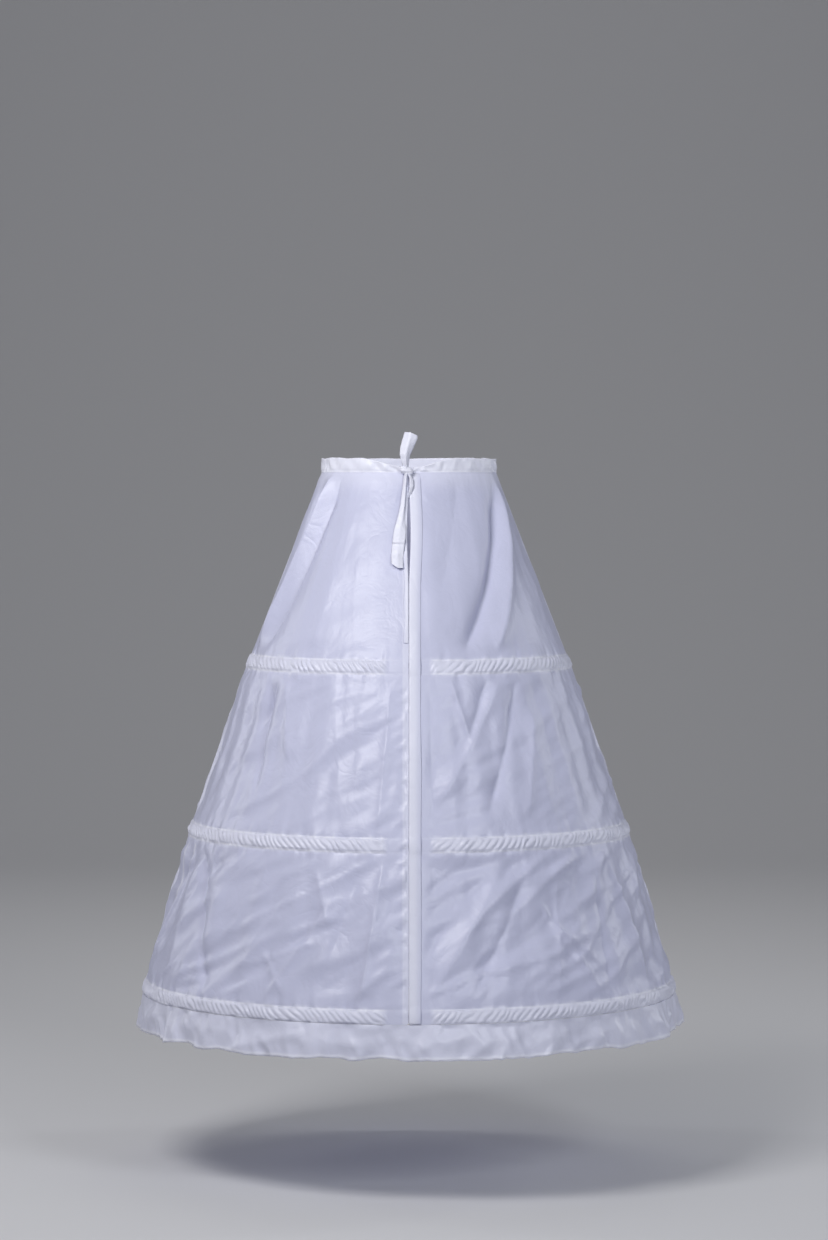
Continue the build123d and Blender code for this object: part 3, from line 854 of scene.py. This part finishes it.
# flounce below the lowest hoop, with a narrow rolled hem
flounce = {
    "top": -0.8733,
    "hem": -0.930,
    "topRadius": 0.4426,
    "hemRadius": 0.4515,
    "rows": 14,
    "steps": 760,
    "hemTurn": 0.006,
    "waves": ((9, 0.0026, 0.4), (17, 0.0028, 2.1), (29, 0.0019, 1.2)),  # count, height, phase
    "crimp": 0.0026,
    "fold": 0.0078,
    "stitchDepth": 0.0008,
    "flatRadius": 0.45,
    "flat": (2.9, 0.068),
}


def makeFlounce():
    bm = bmesh.new()
    line = []
    for row in range(flounce["rows"] + 1):
        share = row / flounce["rows"]
        radius = flounce["topRadius"] + (flounce["hemRadius"] - flounce["topRadius"]) * share
        z = flounce["top"] + (flounce["hem"] - flounce["top"]) * share
        line.append(bm.verts.new((radius, 0, z)))
    for inset, rise in ((0.0009, -0.0002), (0.0015, 0.0012), (0.0012, flounce["hemTurn"])):
        line.append(bm.verts.new((flounce["hemRadius"] - inset, 0, flounce["hem"] + rise)))
    for upper, lower in zip(line, line[1:]):
        bm.edges.new((upper, lower))
    shape = bm.verts[:] + bm.edges[:]
    bmesh.ops.rotate(bm, verts=bm.verts[:], matrix=Matrix.Rotation(math.radians(270), 3, "Z"))
    bmesh.ops.spin(bm, geom=shape, cent=(0, 0, 0), axis=(0, 0, 1), angle=2 * math.pi,
                   steps=flounce["steps"], use_merge=True)
    bmesh.ops.recalc_face_normals(bm, faces=bm.faces[:])
    return bm


def dressFlounce(piece):
    mesh = piece.data
    places = readPlaces(mesh)
    z = places[:, 2].copy()
    turn = np.arctan2(places[:, 1], places[:, 0]) % (2 * np.pi)
    share = np.clip((flounce["top"] - z) / (flounce["top"] - flounce["hem"]), 0, 1)
    waves = np.zeros_like(z)
    for count, size, phase in flounce["waves"]:
        waves += size * np.sin(count * turn + phase + 0.6 * np.sin(3 * turn + phase))
    around = turn / (2 * np.pi)
    bend = 0.5 * latticeNoise(around * 64, share * 2, 130)
    crimp = latticeNoise(around * 256 + bend, share * 1.6, 131)
    crimp += 0.7 * latticeNoise(around * 128 + 1.1 * share, share * 1.2, 132)
    fold = 0.5 - np.abs(latticeNoise(around * 64 + 1.4 * share, share * 0.9, 133))
    fold += 0.6 * (0.5 - np.abs(latticeNoise(around * 128 - 1.2 * share, share * 1.1, 134)))
    nearSeam = (0.35 + 0.65 * np.exp(-share / 0.4)) * smoothStep(0, 0.1, share)
    out = waves * share ** 0.8 + flounce["crimp"] * crimp * nearSeam
    out += flounce["fold"] * fold * smoothStep(0.02, 0.5, share)
    out -= flounce["stitchDepth"] * np.exp(-((share - 0.885) / 0.02) ** 2)
    lift = 0.0030 * np.sin(11 * turn + 0.8) + 0.0022 * np.sin(19 * turn + 2.0) + 0.0012 * crimp
    lift = np.abs(lift) * share ** 2  # an uneven hem line
    places[:, 0] += out * np.cos(turn)
    places[:, 1] += out * np.sin(turn)
    places[:, 2] += lift
    writePlaces(mesh, places)
    writeLayers(mesh, np.maximum(0.95 * smoothStep(0.86, 0.9, share), 0.45))
    writeUnrolled(mesh, turn * flounce["flatRadius"], -z)


flouncePiece = addPiece("hemFrill", makeFlounce(), taffeta, ["hem_flounce"])
dressFlounce(flouncePiece)
print("flounce made")

# casing tapes inside the channels, spun from a folded profile
tape = {
    # place below the middle and inset of each point, as shares of edgeDrop and of the floor's depth
    "profile": ((-1, 0), (-0.75, 0.35), (-0.5, 1), (0, 1.06), (0.5, 1), (0.75, 0.35), (1, 0)),
    "edgeDrop": 0.0105,
    "edgeInset": 0.0013,
    "floorInset": 0.0052,
    "stop": 0.031,
    "steps": 260,
    "flatWidth": 0.025,
    "flatGap": 0.06,
}


def makeTape(index):
    top, bottom = skirt["channels"][index]
    middle = (top + bottom) / 2
    bm = bmesh.new()
    line = []
    for drop, inset in tape["profile"]:
        z = middle - drop * tape["edgeDrop"]
        depth = tape["edgeInset"] + (tape["floorInset"] - tape["edgeInset"]) * inset
        line.append(bm.verts.new((float(halfAxes(z)[0]) - depth, 0, z)))
    for upper, lower in zip(line, line[1:]):
        bm.edges.new((upper, lower))
    stop = tape["stop"] / float(halfAxes(middle)[0])
    bmesh.ops.rotate(bm, verts=bm.verts[:], matrix=Matrix.Rotation(math.radians(270) + stop, 3, "Z"))
    shape = bm.verts[:] + bm.edges[:]
    whole = 2 * math.pi - 2 * stop
    bmesh.ops.spin(bm, geom=shape, cent=(0, 0, 0), axis=(0, 0, 1), angle=whole, steps=tape["steps"])
    bmesh.ops.recalc_face_normals(bm, faces=bm.faces[:])
    return bm


for index, level in enumerate(("upper", "middle", "lower")):
    pieceName, nodeName = "casing" + level.capitalize(), "casing_tape_" + level
    tapePiece = addPiece(pieceName, makeTape(index), tapeCloth, [nodeName])
    tapePlaces = readPlaces(tapePiece.data)
    tapeTurn = np.arctan2(tapePlaces[:, 1], tapePlaces[:, 0]) % (2 * np.pi)
    radius = float(np.hypot(tapePlaces[:, 0], tapePlaces[:, 1]).mean())
    writeLayers(tapePiece.data, np.ones(len(tapePlaces)))
    writeUnrolled(tapePiece.data, tapeTurn * radius, -tapePlaces[:, 2])
    flat = (2 * math.pi * radius - tape["flatGap"], tape["flatWidth"])
print("casing tapes made")

# the tie: a knot of wound ribbon, a short tail standing up, a long tail hanging down
# and a third strand that passes into the slit
tie = {
    "knot": Vector((-0.004, -0.1145, -0.0085)),
    "knotSize": (0.0112, 0.0064, 0.0078),
    "knotTurn": 18,
    "tailColumns": 10,
    "thickness": 0.0004,
}


def makeKnot():
    bm = bmesh.new()
    bmesh.ops.create_uvsphere(bm, u_segments=64, v_segments=32, radius=1.0)
    for vert in bm.verts:
        turn = math.atan2(vert.co.z, vert.co.y)
        wrap = abs(math.sin(2.5 * turn + 2.2 * vert.co.x)) ** 0.7
        swell = 0.82 + 0.2 * wrap + 0.05 * float(latticeNoise(turn * 2.0, vert.co.x * 2, 141))
        waist = 0.86 + 0.14 * abs(vert.co.x)
        vert.co = (vert.co.x * (0.95 + 0.1 * wrap), vert.co.y * swell * waist, vert.co.z * swell * waist)
    bmesh.ops.scale(bm, vec=Vector(tie["knotSize"]), verts=bm.verts[:])
    knotTurn = math.radians(tie["knotTurn"])
    bmesh.ops.rotate(bm, verts=bm.verts[:], matrix=Matrix.Rotation(knotTurn, 3, "Y"))
    bmesh.ops.translate(bm, vec=tie["knot"], verts=bm.verts[:])
    return bm


# each row of a tail: place along it, sideways, off the cloth, level, width, twist in degrees, fold
tailUpper = [
    (0.000, -0.0040, 0.0080, -0.0060, 0.0075, 10, 0.0030),
    (0.012, -0.0056, 0.0100, 0.0060, 0.0125, 12, 0.0036),
    (0.026, -0.0056, 0.0105, 0.0180, 0.0180, 12, 0.0034),
    (0.040, -0.0024, 0.0095, 0.0310, 0.0225, 2, 0.0034),
    (0.054, 0.0012, 0.0080, 0.0430, 0.0245, -8, 0.0032),
    (0.066, 0.0030, 0.0070, 0.0540, 0.0215, -12, 0.0026),
]
tailLower = [
    (0.000, -0.0040, 0.0085, -0.0120, 0.0060, 0, 0.0024),
    (0.025, -0.0062, 0.0050, -0.0360, 0.0070, 22, 0.0030),
    (0.055, -0.0085, 0.0050, -0.0640, 0.0085, 34, 0.0030),
    (0.080, -0.0110, 0.0045, -0.0870, 0.0150, 16, 0.0022),
    (0.100, -0.0140, 0.0040, -0.1050, 0.0200, 6, 0.0016),
    (0.121, -0.0165, 0.0062, -0.1240, 0.0205, -6, 0.0008),
    (0.126, -0.0172, 0.0034, -0.1280, 0.0205, -8, 0.0006),
    (0.150, -0.0185, 0.0040, -0.1500, 0.0200, 10, 0.0016),
    (0.168, -0.0180, 0.0062, -0.1660, 0.0190, 4, 0.0010),
]
tailStrand = [
    (0.000, -0.0010, 0.0085, -0.0110, 0.0050, 0, 0.0022),
    (0.012, 0.0030, 0.0068, -0.0230, 0.0062, -24, 0.0028),
    (0.024, 0.0032, 0.0050, -0.0340, 0.0066, -34, 0.0028),
    (0.036, 0.0010, 0.0030, -0.0450, 0.0058, -20, 0.0024),
    (0.046, -0.0006, -0.0030, -0.0540, 0.0040, 0, 0.0016),
]


def makeTail(stations, cutSlant, rows, seed):
    bm = bmesh.new()
    bmesh.ops.create_grid(bm, x_segments=tie["tailColumns"], y_segments=rows, size=0.5)
    table = np.array(stations)
    length = table[-1, 0]
    for vert in bm.verts:
        across, down = vert.co.x * 2, 0.5 - vert.co.y
        reach = down * length
        reach -= cutSlant * across * max(0.0, down - 0.7) / 0.3  # the cut end slants
        reach = min(max(reach, 0), length)
        station = [float(np.interp(reach, table[:, 0], column)) for column in table[:, 1:].T]
        x, off, z, width, twist, fold = station
        halfWidth, halfDepth = halfAxes(z)
        y = -float(halfDepth) * math.sqrt(1 - (x / float(halfWidth)) ** 2) - off
        turn = math.radians(twist)
        bow = fold * (abs(across) - 0.5) * -2
        bow += 0.0005 * float(latticeNoise(reach / 0.008, across * 1.5, seed))
        side = across * width / 2
        x += side * math.cos(turn) + bow * math.sin(turn)
        y += side * math.sin(turn) - bow * math.cos(turn)
        vert.co = (x, y, z)
    inner = [v for v in bm.verts if not v.is_boundary]
    bmesh.ops.smooth_vert(bm, verts=inner, factor=0.3, use_axis_x=True, use_axis_y=True, use_axis_z=True)
    bmesh.ops.recalc_face_normals(bm, faces=bm.faces[:])
    middle = bm.faces[len(bm.faces) // 2]
    if middle.normal.y > 0:
        bmesh.ops.reverse_faces(bm, faces=bm.faces[:])
    return bm


def finishRibbon(piece):
    places = readPlaces(piece.data)
    writeLayers(piece.data, np.ones(len(places)))
    writeUnrolled(piece.data, places[:, 0], -places[:, 2])


knotPiece = addPiece("tieKnot", makeKnot(), ribbonCloth, ["drawstring"])
finishRibbon(knotPiece)
# each tail: piece, stations, slant of its cut end, rows, noise seed, flat size
tailList = [
    ("tieTailUpper", tailUpper, 0.006, 60, 151, (0.02, 0.068)),
    ("tieTailLower", tailLower, -0.008, 120, 152, (0.02, 0.17)),
    ("tieStrand", tailStrand, 0.0, 50, 153, (0.01, 0.046)),
]
for tailName, stations, cutSlant, rows, seed, flat in tailList:
    tail = addPiece(tailName, makeTail(stations, cutSlant, rows, seed), ribbonCloth)
    finishRibbon(tail)
    addThickness(tail, tie["thickness"], 0.0)
print("tie made")

# floor, backdrop, light and camera
studio = {
    "floorLevel": -1.165,
    "reach": 12,  # of the floor, to each side and towards the camera
    "flatTo": 5.0,
    "backdrop": 8.6,
    "backdropHeight": 9,
    "rounding": 3.4,
    "paint": (0.66, 0.66, 0.68, 1),
    "world": (0.42, 0.43, 0.46, 1),
    "worldStrength": 0.3,
}
# each lamp: place, target, size, power, colour
lamps = {
    "keyLamp": ((-0.95, -1.5, 1.1), (0, 0, 0.25), (1.0, 0.7), 36, (1.0, 0.99, 0.98)),
    "fillLamp": ((1.7, -3.2, 1.0), (0, 0, -0.2), (1.0, 1.0), 42, (0.93, 0.96, 1.0)),
    "rimLeft": ((-2.5, 1.0, 0.2), (-0.3, 0, -0.6), (0.5, 1.6), 12, (0.95, 0.97, 1.0)),
    "rimRight": ((2.5, 1.0, 0.2), (0.3, 0, -0.6), (0.5, 1.6), 14, (0.95, 0.97, 1.0)),
    "backdropLamp": ((0, 2.4, 3.0), (0, 6.0, -1.0), (3.5, 0.8), 55, (1, 1, 1)),
}


def makeStudio():
    bm = bmesh.new()
    back, reach = studio["backdrop"], studio["reach"]
    outline = ((-reach, 0), (studio["flatTo"], 0), (back, 0), (back, studio["backdropHeight"]))
    line = [bm.verts.new((-reach, y, z)) for y, z in outline]
    for first, second in zip(line, line[1:]):
        bm.edges.new((first, second))
    bmesh.ops.bevel(bm, geom=[line[2]], offset=studio["rounding"], offset_type="OFFSET",
                    segments=24, profile=0.5, affect="VERTICES", material=-1)
    swept = bmesh.ops.extrude_edge_only(bm, edges=bm.edges[:])
    farSide = [g for g in swept["geom"] if isinstance(g, bmesh.types.BMVert)]
    bmesh.ops.translate(bm, vec=(2 * reach, 0, 0), verts=farSide)
    bmesh.ops.translate(bm, vec=(0, 0, studio["floorLevel"]), verts=bm.verts[:])
    bmesh.ops.recalc_face_normals(bm, faces=bm.faces[:])
    mesh = bpy.data.meshes.new("studioFloor")
    bm.to_mesh(mesh)
    bm.free()
    mesh.polygons.foreach_set("use_smooth", [True] * len(mesh.polygons))
    floor = bpy.data.objects.new("studioFloor", mesh)
    bpy.context.collection.objects.link(floor)
    finish = bpy.data.materials.new("palePaper")
    finish.use_nodes = True
    shader = finish.node_tree.nodes["Principled BSDF"]
    shader.inputs["Base Color"].default_value = studio["paint"]
    shader.inputs["Roughness"].default_value = 0.9
    mesh.materials.append(finish)


def addLamp(name, place, target, size, power, colour):
    lamp = bpy.data.lights.new(name, "AREA")
    lamp.shape = "RECTANGLE"
    lamp.size, lamp.size_y = size
    lamp.energy = power
    lamp.color = colour
    holder = bpy.data.objects.new(name, lamp)
    holder.location = place
    holder.rotation_euler = (Vector(target) - Vector(place)).to_track_quat("-Z", "Y").to_euler()
    bpy.context.collection.objects.link(holder)


makeStudio()
for lampName, lampSetting in lamps.items():
    addLamp(lampName, *lampSetting)
world = bpy.data.worlds.new("studioWorld")
world.use_nodes = True
ambient = world.node_tree.nodes["Background"]
ambient.inputs["Color"].default_value = studio["world"]
ambient.inputs["Strength"].default_value = studio["worldStrength"]
bpy.context.scene.world = world

cameraSet = {"place": (0.0083, -6.65, -0.024), "pitch": 2.005, "lens": 77.4, "sensor": 24.0}
cameraData = bpy.data.cameras.new("photoCamera")
cameraData.sensor_fit = "VERTICAL"
cameraData.sensor_height = cameraSet["sensor"]
cameraData.lens = cameraSet["lens"]
camera = bpy.data.objects.new("photoCamera", cameraData)
camera.location = cameraSet["place"]
camera.rotation_euler = (math.radians(90 - cameraSet["pitch"]), 0, 0)
bpy.context.collection.objects.link(camera)
bpy.context.scene.camera = camera
bpy.context.scene.view_settings.view_transform = "Standard"
print("studio ready")
